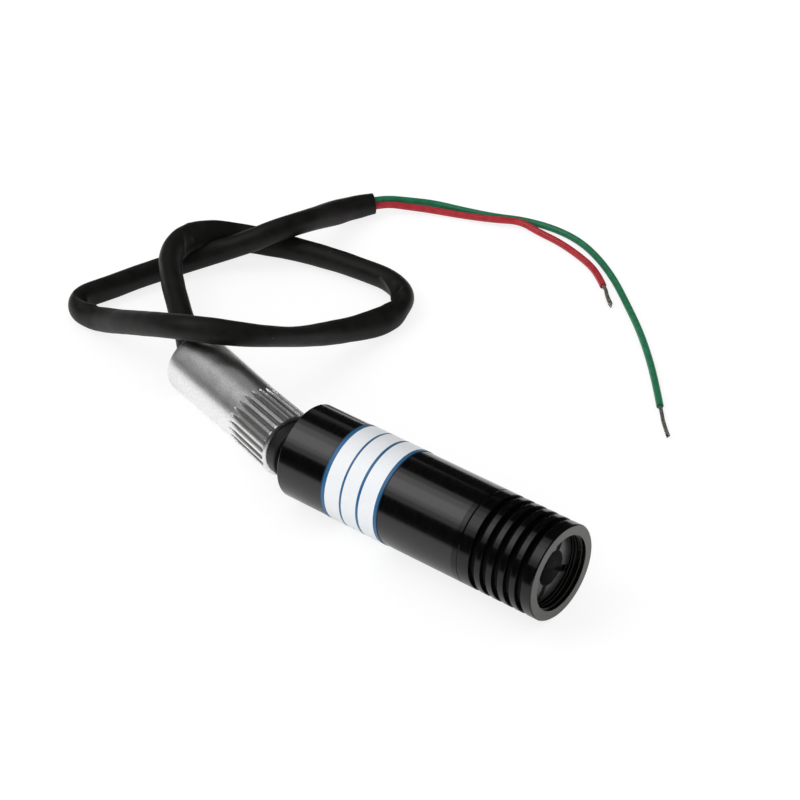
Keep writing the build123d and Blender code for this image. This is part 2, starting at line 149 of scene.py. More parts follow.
sheet = bmesh.new()
bmesh.ops.create_grid(sheet, x_segments=1, y_segments=1, size=floor_size / 2)
bmesh.ops.translate(sheet, verts=sheet.verts, vec=(0, 0, rest_z))
floor_mesh = bpy.data.meshes.new("floor")
sheet.to_mesh(floor_mesh)
sheet.free()
floor = bpy.data.objects.new("floor", floor_mesh)
floor_mesh.materials.append(floor_paint)
bpy.context.scene.collection.objects.link(floor)

# Light. Three soft lamps above, one behind the other, give the long graded highlight along the housing.
# Two dim ones behind and to the left shape the plug's cover, one fills the matt surfaces without being
# mirrored, and the world lights the rest. Mirrors see that world almost black.
lamp_aim = Vector((-0.03, 0.0, 0.0))
lamp_side = Vector((0.0, 0.88, 0.48))
rear_lamp_side = Vector((0.28, 0.95, -0.15))
side_lamp_side = Vector((0.28, 0.95, 0.20))
world_fill = 0.60
world_mirror = 0.025


def soft_lamp(name, direction, distance, wide, long, radiance, side=lamp_side):
    """Rectangular lamp of an even radiance at a distance along a direction, its long side turned to side."""
    lamp = bpy.data.lights.new(name, "AREA")
    lamp.shape = "RECTANGLE"
    lamp.size = wide
    lamp.size_y = long
    lamp.energy = radiance * pi * wide * long
    away = Vector(direction).normalized()
    across = side.cross(away).normalized()
    turn = Matrix((across, away.cross(across), away)).transposed()
    placed = bpy.data.objects.new(name, lamp)
    placed.location = lamp_aim + away * distance
    placed.rotation_euler = turn.to_euler()
    bpy.context.scene.collection.objects.link(placed)
    return placed


soft_lamp("key_lamp", (-0.506, -0.352, 0.788), 0.90, wide=0.46, long=1.08, radiance=0.82)
soft_lamp("middle_lamp", (-0.506, -0.345, 0.790), 0.92, wide=0.42, long=0.70, radiance=0.80)
soft_lamp("inner_lamp", (-0.506, -0.380, 0.774), 0.94, wide=0.38, long=0.35, radiance=0.70)
soft_lamp("rear_lamp", (-0.725, 0.40, 0.56), 0.96, wide=0.30, long=0.76, radiance=0.32, side=rear_lamp_side)
soft_lamp("side_lamp", (-0.87, -0.34, 0.36), 0.97, wide=0.22, long=0.34, radiance=0.20, side=side_lamp_side)
fill_lamp = soft_lamp("fill_lamp", (0.55, -0.83, 0.10), 0.90, wide=0.90, long=0.90, radiance=2.2)
fill_lamp.visible_glossy = False
world = bpy.data.worlds.new("studio")
world.use_nodes = True
world.node_tree.nodes.clear()
tree = world.node_tree
path = add_node(tree, "LightPath").outputs
lit = ramp(tree, path["Is Camera Ray"], 0.0, 1.0, world_fill, 1.0)
lit = maths(tree, "SUBTRACT", lit, path["Is Glossy Ray"])
lit = maths(tree, "MAXIMUM", lit, world_mirror)
sky = add_node(tree, "Background", {"Color": (1, 1, 1, 1), "Strength": lit})
output = add_node(tree, "OutputWorld")
tree.links.new(sky.outputs[0], output.inputs["Surface"])
bpy.context.scene.world = world

# Head. Front half of the housing, turned from aluminium bar and black anodised, with five cooling
# grooves. The fine thread cut in its mouth takes the lens holder.
body_r = 8.0
rim_chamfer = 0.22
mouth_r = 6.3
groove_count = 5
groove_from = -1.9
groove_width = 1.1
groove_pitch = 2.2
groove_r = 7.0
groove_lip = 0.10
groove_foot = 0.12
head_rear = -14.0
spigot_rear = -19.0
spigot_r = 6.75
head_bore_r = 5.95
thread_pitch = 0.58
thread_turns = 4.0
thread_from = -1.20
thread_rear = -3.4
thread_root_r = 6.36
thread_crest_r = 6.13
thread_sink = 0.05
thread_half_share = 0.17
thread_steps = 96
first_crest_r = 6.12
head_outline = [(0.0, mouth_r, 0.03), (0.0, body_r - rim_chamfer), (-rim_chamfer, body_r)]
for i in range(groove_count):
    front = groove_from - groove_pitch * i
    rear = front - groove_width
    head_outline += [(front, body_r, groove_lip), (front, groove_r, groove_foot)]
    head_outline += [(rear, groove_r, groove_foot), (rear, body_r, groove_lip)]
head_outline += [
    (head_rear, body_r, 0.12), (head_rear, spigot_r), (spigot_rear, spigot_r), (spigot_rear, head_bore_r),
    (thread_rear, head_bore_r), (thread_rear, thread_root_r), (-0.86, thread_root_r),
    (-0.84, first_crest_r, 0.02), (-0.70, first_crest_r, 0.02), (-0.66, mouth_r),
]
coarse_spread = (0.35, 0.65)
rough_spread = (0.3, 0.7)
fine_ratio = 5.0
face_from = -0.05
# Painted reflection: the front face is painted a lighter grey for the pale floor that it mirrors.
face_reflection_grey = (0.095, 0.094, 0.088, 1)
face_roughness = 0.20
groove_band = 0.2
groove_roughness = 0.45
crests_within = 6.29
crests_from = -3.5
# Painted highlight: the thread's crests in the mouth are painted a lighter grey.
crest_highlight_grey = (0.022, 0.022, 0.020, 1)
satin_from = -15.1
satin_fade = 0.05
satin_specular = 0.29
polished_specular = 0.50


def surface_group():
    """Node group for a surface that drifts in colour and roughness and has a fine relief."""
    group = bpy.data.node_groups.new("surface_drift", "ShaderNodeTree")
    sockets = {"Scale": "Float", "Stretch": "Vector", "Dark": "Color", "Light": "Color"}
    sockets |= {"Smoothest": "Float", "Roughest": "Float", "Relief": "Float"}
    for label, kind in sockets.items():
        group.interface.new_socket(label, in_out="INPUT", socket_type="NodeSocket" + kind)
    for label, kind in {"Colour": "Color", "Roughness": "Float", "Normal": "Vector"}.items():
        group.interface.new_socket(label, in_out="OUTPUT", socket_type="NodeSocket" + kind)
    given = group.nodes.new("NodeGroupInput").outputs
    place = add_node(group, "TexCoord").outputs["Object"]
    place = add_node(group, "VectorMath", {0: place, 1: given["Stretch"]}, operation="MULTIPLY").outputs[0]
    drift = add_node(group, "TexNoise", {"Vector": place, "Scale": given["Scale"], "Detail": 3.0}).outputs[0]
    finer = maths(group, "MULTIPLY", given["Scale"], fine_ratio)
    fine = add_node(group, "TexNoise", {"Vector": place, "Scale": finer, "Detail": 5.0}).outputs[0]
    spread = ramp(group, drift, *coarse_spread)
    raised = add_node(group, "Bump", {"Height": fine, "Strength": 1.0, "Distance": given["Relief"]})
    out = group.nodes.new("NodeGroupOutput").inputs
    group.links.new(mixed_colour(group, spread, given["Dark"], given["Light"]), out["Colour"])
    rough = ramp(group, drift, *rough_spread, given["Smoothest"], given["Roughest"])
    group.links.new(rough, out["Roughness"])
    group.links.new(raised.outputs[0], out["Normal"])
    return group


surface_drift = surface_group()


def finish(name, dark, light, roughness, scale, relief, stretch=(1, 1, 1), **constants):
    """Material that drifts from dark to light and between two roughnesses, at a scale per metre.

    Its relief is in metres, and constants sit on the shader itself.
    """
    made = new_material(name)
    tree = made.node_tree
    values = {"Scale": scale, "Stretch": stretch, "Dark": (*dark, 1), "Light": (*light, 1)}
    values |= {"Smoothest": roughness[0], "Roughest": roughness[1], "Relief": relief}
    drift = add_node(tree, "Group", node_tree=surface_drift)
    for label, value in values.items():
        drift.inputs[label].default_value = value
    sockets = {"Base Color": drift.outputs["Colour"], "Roughness": drift.outputs["Roughness"]}
    sockets["Normal"] = drift.outputs["Normal"]
    for label, value in constants.items():
        sockets[label.replace("_", " ")] = value
    surface = add_node(tree, "BsdfPrincipled", sockets)
    link_surface(made, surface.outputs[0])
    return made


def turned(outline, steps=192, segments=3, closed=True, cuts=None):
    """Shell turned about X from (x, radius) corners.

    A third number rounds its corner, and cuts gives how often the run after a corner is divided.
    """
    shell = bmesh.new()
    corners = [shell.verts.new((corner[0], corner[1], 0)) for corner in outline]
    ends = corners[1:] + corners[:1] if closed else corners[1:]
    runs = [shell.edges.new(pair) for pair in zip(corners, ends)]
    for index, count in (cuts or {}).items():
        bmesh.ops.subdivide_edges(shell, edges=[runs[index]], cuts=count)
    for x, radius, *soft in outline:
        if soft:
            spot = Vector((x, radius, 0))
            corner = min(shell.verts, key=lambda point: (point.co - spot).length)
            bmesh.ops.bevel(
                shell, geom=[corner], offset=soft[0], segments=segments, profile=0.5, affect="VERTICES",
                material=-1,
            )
    bmesh.ops.spin(
        shell, geom=shell.verts[:] + shell.edges[:], cent=(0, 0, 0), axis=(1, 0, 0), angle=tau, steps=steps,
        use_merge=True,
    )
    bmesh.ops.remove_doubles(shell, verts=shell.verts, dist=1e-5)
    bmesh.ops.recalc_face_normals(shell, faces=shell.faces)
    return shell


def add_piece(name, shell, paint, slot, *stands_for, sharp=12):
    """Finished piece from a shell in millimetres, standing for the CAD nodes given, which it hides. Its slot
    is not used.
    """
    bmesh.ops.scale(shell, vec=(mm, mm, mm), verts=shell.verts)
    mesh = bpy.data.meshes.new(name)
    shell.to_mesh(mesh)
    shell.free()
    mesh.shade_smooth()
    mesh.set_sharp_from_angle(angle=radians(sharp))
    mesh.materials.append(paint)
    made = bpy.data.objects.new(name, mesh)
    bpy.context.scene.collection.objects.link(made)
    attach(made, "root")
    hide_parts(*stands_for)
    return made


def mouth_thread():
    """Helical ridge of the mouth's thread, its foot sunk a little into the bore."""
    ridge = bmesh.new()
    half = thread_half_share * thread_pitch
    foot_r = thread_root_r + thread_sink
    section = [(half, foot_r), (0.02, thread_crest_r), (-0.03, thread_crest_r), (-half, foot_r)]
    corners = [ridge.verts.new((thread_from + x, radius, 0)) for x, radius in section]
    for near, far in zip(corners, corners[1:] + corners[:1]):
        ridge.edges.new((near, far))
    steps = round(thread_steps * thread_turns)
    step = Vector((-thread_pitch * thread_turns / steps, 0, 0))
    bmesh.ops.spin(
        ridge, geom=ridge.verts[:] + ridge.edges[:], cent=(0, 0, 0), axis=(1, 0, 0), dvec=step,
        angle=tau * thread_turns, steps=steps,
    )
    bmesh.ops.holes_fill(ridge, edges=[edge for edge in ridge.edges if edge.is_boundary])
    bmesh.ops.recalc_face_normals(ridge, faces=ridge.faces)
    return ridge


def join_shell(shell, other):
    """Adds another shell's faces to a shell."""
    carried = bpy.data.meshes.new("carried")
    other.to_mesh(carried)
    other.free()
    shell.from_mesh(carried)
    bpy.data.meshes.remove(carried)


black_anodised = finish(
    "black_anodised", (0.0012, 0.0012, 0.0013), (0.0022, 0.0022, 0.0023), (0.12, 0.18), 700, 4e-7, (3, 1, 1)
)
tree = black_anodised.node_tree
surface = tree.nodes["Principled BSDF"]
black = surface.inputs["Base Color"].links[0].from_socket
roughness_drift_and_fold_sheen = surface.inputs["Roughness"].links[0].from_socket
place = add_node(tree, "TexCoord").outputs["Object"]
along = add_node(tree, "SeparateXYZ", {0: place}).outputs["X"]
radial = add_node(tree, "VectorMath", {0: place, 1: (0, 1, 1)}, operation="MULTIPLY").outputs[0]
radial = add_node(tree, "VectorMath", {0: radial}, operation="LENGTH").outputs["Value"]
faced = maths(tree, "GREATER_THAN", along, face_from * mm)
sunk = maths(tree, "COMPARE", radial, groove_r * mm, groove_band * mm)
sunk = maths(tree, "SUBTRACT", sunk, faced, use_clamp=True)
satin = ramp(tree, along, (satin_from - satin_fade) * mm, (satin_from + satin_fade) * mm)
shine = ramp(tree, satin, 0.0, 1.0, polished_specular, satin_specular)
rough = maths(tree, "MULTIPLY_ADD", sunk, groove_roughness, roughness_drift_and_fold_sheen)
rough = maths(tree, "MULTIPLY_ADD", faced, face_roughness, rough)
# Painted reflection: the front face takes the lighter grey.
greyed = mixed_colour(tree, faced, black, face_reflection_grey)
# Painted highlight: lighter grey on the thread's crests inside the mouth.
inside = maths(tree, "LESS_THAN", radial, crests_within * mm)
threaded = maths(tree, "GREATER_THAN", along, crests_from * mm)
crest = maths(tree, "MULTIPLY", inside, threaded)
greyed = mixed_colour(tree, crest, greyed, crest_highlight_grey)
tree.links.new(shine, surface.inputs["Specular IOR Level"])
tree.links.new(rough, surface.inputs["Roughness"])
tree.links.new(greyed, surface.inputs["Base Color"])
head_shell = turned(head_outline)
join_shell(head_shell, mouth_thread())
add_piece("head", head_shell, black_anodised, "anodised_housing", "ribbed_head")

# Barrel. Rear half of the housing, a turned tube closed by a wall with a hole for the plug, pushed on
# to the head's spigot and anodised with it.
barrel_front = -14.04
barrel_rear = -50.0
barrel_bore_r = 6.8
wall_front = -48.5
plug_hole_r = 4.0
barrel_outline = [
    (barrel_front, barrel_bore_r), (barrel_front, body_r, 0.12), (barrel_rear, body_r, 0.22),
    (barrel_rear, plug_hole_r, 0.12), (wall_front, plug_hole_r), (wall_front, barrel_bore_r),
]
add_piece("barrel", turned(barrel_outline), black_anodised, "anodised_housing", "barrel_body")

# Label. Printed film wrapped once round the barrel: white, with a thick and a thin
# blue line along each edge. Nothing is printed between the lines.
label_front = -29.6
label_rear = -41.0
film_inner_r = 7.99
film_outer_r = 8.08
film_edge = 0.03
thick_lines = [(label_front, -30.35), (-40.1, label_rear)]
thin_lines = [(-33.35, -33.85), (-36.75, -37.15)]
# Painted shade: a darker blue along the film's two cut edges.
edge_shade_bands = [(label_front + 0.05, label_front - 0.16), (label_rear + 0.22, label_rear - 0.05)]
line_blue = (0.012, 0.110, 0.255, 1)
edge_shade_blue = (0.004, 0.022, 0.055, 1)


def line_mask(tree, along, lines):
    """1 on the bands given as (from, to) along the module in millimetres, printed lines or painted edge
    shade, 0 between them.
    """
    total = None
    for start, end in lines:
        middle = (start + end) / 2 * mm
        half = abs(start - end) / 2 * mm
        on = maths(tree, "COMPARE", along, middle, half)
        total = on if total is None else maths(tree, "MAXIMUM", total, on)
    return total


printed_film = finish("printed_film", (0.825, 0.845, 0.87), (0.85, 0.868, 0.888), (0.34, 0.46), 2200, 1e-6)
tree = printed_film.node_tree
surface = tree.nodes["Principled BSDF"]
paper = surface.inputs["Base Color"].links[0].from_socket
place = add_node(tree, "TexCoord").outputs["Object"]
along = add_node(tree, "SeparateXYZ", {0: place}).outputs["X"]
inked = mixed_colour(tree, line_mask(tree, along, thick_lines + thin_lines), paper, line_blue)
# Painted shade along the film's cut edges, laid over the print.
printed = mixed_colour(tree, line_mask(tree, along, edge_shade_bands), inked, edge_shade_blue)
tree.links.new(printed, surface.inputs["Base Color"])
label_outline = [
    (label_front, film_inner_r), (label_front, film_outer_r, film_edge),
    (label_rear, film_outer_r, film_edge), (label_rear, film_inner_r),
]
add_piece("label", turned(label_outline), printed_film, "label_film", "label_wrap")

# Lens holder. Black moulded ring that carries the lens and screws into the mouth's thread, with a
# rounded front and four key slots for setting the focus.
holder_front = -1.98
holder_rear = -9.0
holder_r = 5.88
dome_rise = 0.45
dome_steps = 14
lens_seat = -4.2
lens_hole_r = 2.95
lens_pocket_r = 3.23
slot_width = 1.15
slot_floor = -3.3
slot_turn = 58.0
key_height = 3.0
key_length = 14.0
holder_outline = [(lens_seat, lens_hole_r)]
for i in range(dome_steps + 1):
    share = i / dome_steps
    radius = lens_hole_r + (holder_r - lens_hole_r) * share
    holder_outline.append((holder_front - dome_rise * share ** 3, radius))
holder_outline += [(holder_rear, holder_r), (holder_rear, lens_pocket_r), (lens_seat, lens_pocket_r)]


def slotted(shell, bars):
    """Shell with bars cut out of it."""
    carriers = []
    for name, made in (("whole", shell), ("bars", bars)):
        mesh = bpy.data.meshes.new(name)
        made.to_mesh(mesh)
        made.free()
        carriers.append(bpy.data.objects.new(name, mesh))
        bpy.context.scene.collection.objects.link(carriers[-1])
    cut = carriers[0].modifiers.new("slots", "BOOLEAN")
    cut.operation = "DIFFERENCE"
    cut.solver = "EXACT"
    cut.object = carriers[1]
    read = bpy.data.meshes.new_from_object(carriers[0].evaluated_get(bpy.context.evaluated_depsgraph_get()))
    left = bmesh.new()
    left.from_mesh(read)
    for carrier in carriers:
        bpy.data.meshes.remove(carrier.data)
    bpy.data.meshes.remove(read)
    return left


key_bars = bmesh.new()
for turn in (slot_turn, slot_turn + 90):
    bar = bmesh.ops.create_cube(key_bars, size=1.0)["verts"]
    bmesh.ops.scale(key_bars, vec=(key_height, slot_width, key_length), verts=bar)
    bmesh.ops.translate(key_bars, vec=(slot_floor + key_height / 2, 0, 0), verts=bar)
    bmesh.ops.rotate(key_bars, cent=(0, 0, 0), matrix=Matrix.Rotation(radians(turn), 3, "X"), verts=bar)
satin_moulded = finish(
    "satin_moulded", (0.024, 0.024, 0.0245), (0.036, 0.036, 0.037), (0.28, 0.38), 1500, 3e-6,
    Specular_IOR_Level=0.9,
)
holder_shell = slotted(turned(holder_outline), key_bars)
add_piece("holder", holder_shell, satin_moulded, "black_moulding", "lens_holder", sharp=28)

# Insides. Lens, spring, diode, driver board and socket are bought or stock parts, pressed, screwed or
# soldered in. Their solids have the right shape and take the finish of what each is made of.
black_moulded = finish(
    "black_moulded", (0.006, 0.006, 0.006), (0.011, 0.0105, 0.010), (0.38, 0.50), 900, 2e-6,
    Specular_IOR_Level=0.35,
)
coated_lens = finish("coated_lens", (0.004, 0.006, 0.008), (0.008, 0.010, 0.012), (0.02, 0.05), 300, 1e-7)
bare_metal = finish(
    "bare_metal", (0.55, 0.55, 0.56), (0.75, 0.75, 0.76), (0.2, 0.35), 800, 3e-6, (4, 1, 1), Metallic=1.0
)
spring_wire = finish(
    "spring_wire", (0.35, 0.35, 0.36), (0.55, 0.55, 0.55), (0.2, 0.35), 1500, 2e-6, Metallic=1.0
)
turned_brass = finish(
    "turned_brass", (0.55, 0.38, 0.13), (0.75, 0.56, 0.25), (0.2, 0.35), 800, 3e-6, (4, 1, 1), Metallic=1.0
)
gilt = finish("gilt", (0.72, 0.52, 0.2), (0.88, 0.68, 0.32), (0.15, 0.3), 1200, 2e-6, Metallic=1.0)
nickel_plate = finish(
    "nickel_plate", (0.60, 0.60, 0.61), (0.78, 0.78, 0.78), (0.16, 0.30), 900, 3e-6, Metallic=1.0
)
board_green = finish("board_green", (0.02, 0.16, 0.06), (0.04, 0.24, 0.09), (0.3, 0.45), 900, 4e-6)
fired_ceramic = finish("fired_ceramic", (0.42, 0.30, 0.18), (0.6, 0.47, 0.3), (0.45, 0.6), 1800, 6e-6)
blue_moulded = finish("blue_moulded", (0.02, 0.06, 0.35), (0.05, 0.12, 0.5), (0.35, 0.5), 900, 5e-6)
liner_film = finish("liner_film", (0.62, 0.46, 0.2), (0.78, 0.62, 0.32), (0.35, 0.55), 600, 6e-6)
red_cover = finish("red_cover", (0.40, 0.012, 0.022), (0.48, 0.020, 0.032), (0.34, 0.46), 900, 3e-6)
slot_finishes = {
    "anodised_housing": black_anodised,
    "label_film": printed_film,
    "black_moulding": black_moulded,
    "lens_glass": coated_lens,
    "bare_aluminium": bare_metal,
    "spring_steel": spring_wire,
    "brass": turned_brass,
    "gilt_metal": gilt,
    "plated_metal": nickel_plate,
    "board_laminate": board_green,
    "ceramic_body": fired_ceramic,
    "blue_moulding": blue_moulded,
    "insulating_film": liner_film,
    "red_insulation": red_cover,
}
for part in frame["record"]["subparts"]:
    if part["material_slot"] in slot_finishes:
        for held in frame["nodes"][part["node"]].material_slots:
            held.material = slot_finishes[part["material_slot"]]

# Collar. Black moulded flange of the jack plug, which the metal cover screws on to. It leans in the
# hole of the rear wall with the rest of the plug.
plug_front = Vector((-54.2, 0.7, -1.8))
plug_yaw = 16.8
plug_droop = 1.1
plug_place = (
    Matrix.Translation(plug_front)
    @ Matrix.Rotation(radians(-plug_droop), 4, "Y")
    @ Matrix.Rotation(radians(-plug_yaw), 4, "Z")
)
collar_r = 4.9
collar_front = 2.2
collar_neck_r = 4.55
collar_neck_rear = -5.0
collar_bore_r = 1.25
collar_outline = [
    (collar_neck_rear, collar_bore_r), (collar_neck_rear, collar_neck_r, 0.3), (0.0, collar_neck_r),
    (0.0, collar_r, 0.06), (collar_front, collar_r, 0.28), (collar_front, 2.0, 0.15), (1.9, 1.7),
    (1.9, collar_bore_r),
]
collar_shell = turned(collar_outline, 128)
bmesh.ops.transform(collar_shell, matrix=plug_place, verts=collar_shell.verts)
add_piece("collar", collar_shell, black_moulded, "black_moulding", "plug_collar")

# Plug cover. Plated metal shell, turned, with pressed flutes for the fingers round its front half, a
# bright chamfered rim and a rounded rear end that the sleeve leaves through.
cover_length = 29.9
cover_r = 5.5
cover_waist_r = 5.3
cover_bore_r = 4.65
cover_rear_wall = 1.6
sleeve_hole_r = 2.3
flute_count = 26
flute_width = 0.86
flute_depth = 0.36
flute_front = 0.45
flute_round = 0.32
flute_rear = 10.7
flute_taper = 2.2
flute_rise = 1.6
flute_steps = 14
outside_r = 5.2
cover_corners = [
    (0.0, cover_bore_r), (0.0, 5.10, 0.20), (-0.42, 5.48, 0.24), (-flute_rear - 0.3, cover_waist_r),
    (-cover_length, cover_r, 0.22), (-cover_length, sleeve_hole_r, 0.25),
    (cover_rear_wall - cover_length, sleeve_hole_r), (cover_rear_wall - cover_length, cover_bore_r),
]
grain_scale = 3200.0
grain_from = 0.40
grain_to = 0.58
grain_most = 0.24
grain_grey = (0.42, 0.43, 0.44, 1)
# Painted shade: the flutes' hollows are painted darker by their depth.
flute_shade_from = 0.10
flute_shade_to = 0.80
flute_shade_most = 0.76
flute_shade_grey = (0.13, 0.13, 0.125, 1)


def flute_share(back):
    """Share of a flute's width at a distance behind the rim: round in front, a long point behind."""
    front = min(max((back - flute_front) / flute_round, 0.0), 1.0)
    rear = min(max((flute_rear - back) / flute_taper, 0.0), 1.0)
    return sqrt(1 - (1 - front) ** 2) * sqrt(rear)


def cut_flutes(shell):
    """Presses the flutes into the cover and writes each point's share of their depth to an attribute."""
    sunk = shell.verts.layers.float.new("sunk")
    pitch = tau / flute_count
    for point in shell.verts:
        radius = hypot(point.co.y, point.co.z)
        share = flute_share(-point.co.x)
        if radius < outside_r or share <= 0.0:
            continue
        turn = atan2(point.co.z, point.co.y) / pitch
        off = abs(turn - round(turn)) * pitch * radius / (flute_width / 2 * share)
        depth = max(0.0, 1 - off ** 3) * min(1.0, share * flute_rise)
        point[sunk] = depth
        point.co.y *= 1 - flute_depth * depth / radius
        point.co.z *= 1 - flute_depth * depth / radius


cover_shell = turned(cover_corners, flute_count * flute_steps, 4, cuts={2: 71, 3: 11})
cut_flutes(cover_shell)
bmesh.ops.transform(cover_shell, matrix=plug_place, verts=cover_shell.verts)

mottled_plate = finish(
    "mottled_plate", (0.93, 0.93, 0.925), (0.98, 0.98, 0.975), (0.31, 0.38), 700, 2.2e-5, Metallic=1.0
)
tree = mottled_plate.node_tree
surface = tree.nodes["Principled BSDF"]
plate = surface.inputs["Base Color"].links[0].from_socket
in_flute = add_node(tree, "Attribute", attribute_name="sunk").outputs["Fac"]
place = add_node(tree, "TexCoord").outputs["Object"]
grain = add_node(tree, "TexNoise", {"Vector": place, "Scale": grain_scale, "Detail": 2.0}).outputs[0]
grain = ramp(tree, grain, grain_from, grain_to, grain_most, 0.0)
plate = mixed_colour(tree, grain, plate, grain_grey)
# Painted shade in the flutes' hollows, darker where they are deeper.
flute_shaded = ramp(tree, in_flute, flute_shade_from, flute_shade_to, 0.0, flute_shade_most)
plate_with_flute_shade = mixed_colour(tree, flute_shaded, plate, flute_shade_grey)
tree.links.new(plate_with_flute_shade, surface.inputs["Base Color"])
add_piece("cover", cover_shell, mottled_plate, "plated_metal", "plug_cover", sharp=38)

# Sleeve. A limp thin-walled black sleeve that leaves the plug's cover, climbs into a loose knot over
# itself, flattened and creased where it turns, and ends cut off where its two wires come out.
sleeve_entry = 17.0
sleeve_d = 4.2
sleeve_wall = 0.4
straight_out = 2.0
open_depth = 4.0
line_steps = 16
floor_gap = 0.05
sleeve_lay = rest_z / mm + sleeve_d / 2 + floor_gap
sleeve_route = [
    (-37.7, 13.2, 3.2), (-41.5, 16.3, 3.6), (-45.6, 19.5, 3.9), (-49.5, 22.6, 4.2), (-53.4, 26.0, 4.6),
    (-57.2, 30.1, 4.7), (-58.7, 34.4, 4.7), (-59.0, 38.6, 4.0), (-58.6, 42.4, 2.2), (-56.5, 46.2, 0.7),
    (-52.6, 48.6, 0.4), (-45.8, 50.7, 0.2), (-38.1, 52.6, 0.0), (-31.2, 53.3, 0.0), (-25.7, 53.6, 0.0),
    (-20.7, 51.0, 0.0), (-18.6, 45.3, 0.2), (-19.1, 39.2, 1.1), (-20.9, 31.7, 2.8), (-21.9, 22.5, 6.3),
    (-23.9, 13.9, 10.5), (-29.2, 8.7, 12.1), (-36.2, 7.3, 10.8), (-46.5, 9.0, 6.1), (-55.6, 11.3, 1.5),
    (-59.5, 11.8, 0.2), (-62.5, 12.0, 0.2), (-64.5, 13.6, 0.2), (-65.0, 16.1, 0.2), (-63.5, 20.4, 0.1),
    (-61.6, 28.0, 0.0), (-58.7, 35.6, 0.0), (-55.3, 41.5, 0.8), (-50.6, 44.4, 3.2), (-47.9, 47.9, 4.7),
    (-46.0, 53.4, 4.6), (-46.4, 62.6, 1.8), (-46.3, 68.4, 0.2), (-44.7, 71.65, 0.0),
]
sleeve_forms = [
    (0.0, 4.2, 4.2, 0.0), (36.0, 4.3, 4.1, 100.0), (44.0, 4.4, 3.9, 139.0), (51.0, 5.0, 3.2, 138.0),
    (59.0, 5.6, 2.7, 126.0), (67.0, 5.0, 3.1, 120.0), (76.0, 4.2, 4.1, 110.0), (84.0, 4.3, 4.0, 50.0),
    (96.0, 4.2, 4.0, 50.0), (102.5, 3.6, 4.2, 50.0), (106.5, 4.7, 3.6, 50.0), (110.0, 4.9, 3.2, 50.0),
    (118.0, 4.3, 3.8, 50.0), (131.0, 3.4, 4.6, 50.0), (146.0, 4.4, 4.0, 50.0), (168.0, 4.2, 4.1, 60.0),
    (178.0, 4.5, 3.5, 90.0), (189.0, 4.6, 3.4, 90.0), (198.0, 4.2, 4.1, 100.0), (232.0, 4.1, 4.2, 130.0),
    (240.0, 4.6, 3.8, 130.0), (246.0, 4.3, 3.9, 130.0), (251.0, 3.8, 4.1, 130.0), (254.0, 3.8, 4.1, 130.0),
]
sleeve_creases = [
    (100.5, 2.0, 93.0, 34.0, 0.34, 0.30),
    (101.8, 34.0, 99.2, 94.0, 0.34, 0.26),
    (101.0, 30.0, 97.5, 60.0, 0.75, -0.34),
    (101.6, 14.0, 101.6, 50.0, 1.10, -0.24),
    (178.5, 62.0, 185.5, 117.0, 0.40, 0.20),
    (46.0, 2.0, 53.2, 125.0, 0.45, 0.16),
    (52.0, 20.0, 57.0, 60.0, 1.30, -0.40),
]
crease_reach = 4.0
uneven_height = 0.05
uneven_along = 0.35
uneven_round = 0.7
cut_lean = Vector((0.141, -0.189, 0.081))
lean_reach = 3.0
dust_scale = 260.0
dust_from = 0.018
dust_to = 0.040
dust_most = 0.45
dust_grey = (0.14, 0.135, 0.13, 1)
# Painted highlight: the fold ridges are painted a lighter grey by their height.
fold_sheen_from = 0.10
fold_sheen_to = 0.30
fold_sheen_most = 0.80
fold_sheen_grey = (0.19, 0.186, 0.175, 1)


def laid(points, lay):
    """Places of a route in millimetres. Its x is from the barrel's rear face, its height above the lay."""
    return [Vector((barrel_rear + x, y, lay + height)) for x, y, height in points]


def route_line(name, points):
    """Points in millimetres read from the NURBS spline that has a route's points as its control points."""
    line = bpy.data.curves.new(name, "CURVE")
    line.dimensions = "3D"
    line.resolution_u = line_steps
    spline = line.splines.new("NURBS")
    spline.points.add(len(points) - 1)
    for control, place in zip(spline.points, points):
        control.co = (*(place * mm), 1)
    spline.order_u = 3
    spline.use_endpoint_u = True
    spline.resolution_u = line_steps
    carrier = bpy.data.objects.new(name, line)
    read = bpy.data.meshes.new_from_object(carrier)
    places = [corner.co / mm for corner in read.vertices]
    bpy.data.objects.remove(carrier)
    bpy.data.curves.remove(line)
    bpy.data.meshes.remove(read)
    return places


def frames_along(places):
    """Running distance, place, direction, level side and up at each point of a line."""
    frames = []
    run = 0.0
    for i, place in enumerate(places):
        ahead = (places[min(i + 1, len(places) - 1)] - places[max(i - 1, 0)]).normalized()
        side = ahead.cross(Vector((0, 0, 1))).normalized()
        run += (place - places[max(i - 1, 0)]).length
        frames.append((run, place, ahead, side, side.cross(ahead)))
    return frames


def laid_along(shell, frames, section):
    """Bends a straight shell, turned about X, along a line. Its x is the distance, its radius a share.

    The bend mirrors the shell, so its faces are turned round again to point outwards.
    """
    runs = [frame[0] for frame in frames]
    for point in shell.verts:
        run, share, angle = point.co.x, hypot(point.co.y, point.co.z), atan2(point.co.z, point.co.y)
        i = min(max(bisect(runs, run), 1), len(runs) - 1)
        near, far = frames[i - 1], frames[i]
        part = (run - near[0]) / (far[0] - near[0])
        place, side, up = (near[k].lerp(far[k], part) for k in (1, 3, 4))
        across, above = section(run, angle)
        point.co = place + (side * across + up * above) * share
    bmesh.ops.reverse_faces(shell, faces=shell.faces)


def between(keys, run):
    """Values at a distance along, from keys of (distance, values...), eased from one key to the next."""
    i = min(max(bisect([key[0] for key in keys], run), 1), len(keys) - 1)
    near, far = keys[i - 1], keys[i]
    part = min(max((run - near[0]) / (far[0] - near[0]), 0.0), 1.0)
    part = part * part * (3 - 2 * part)
    return [a + (b - a) * part for a, b in zip(near[1:], far[1:])]


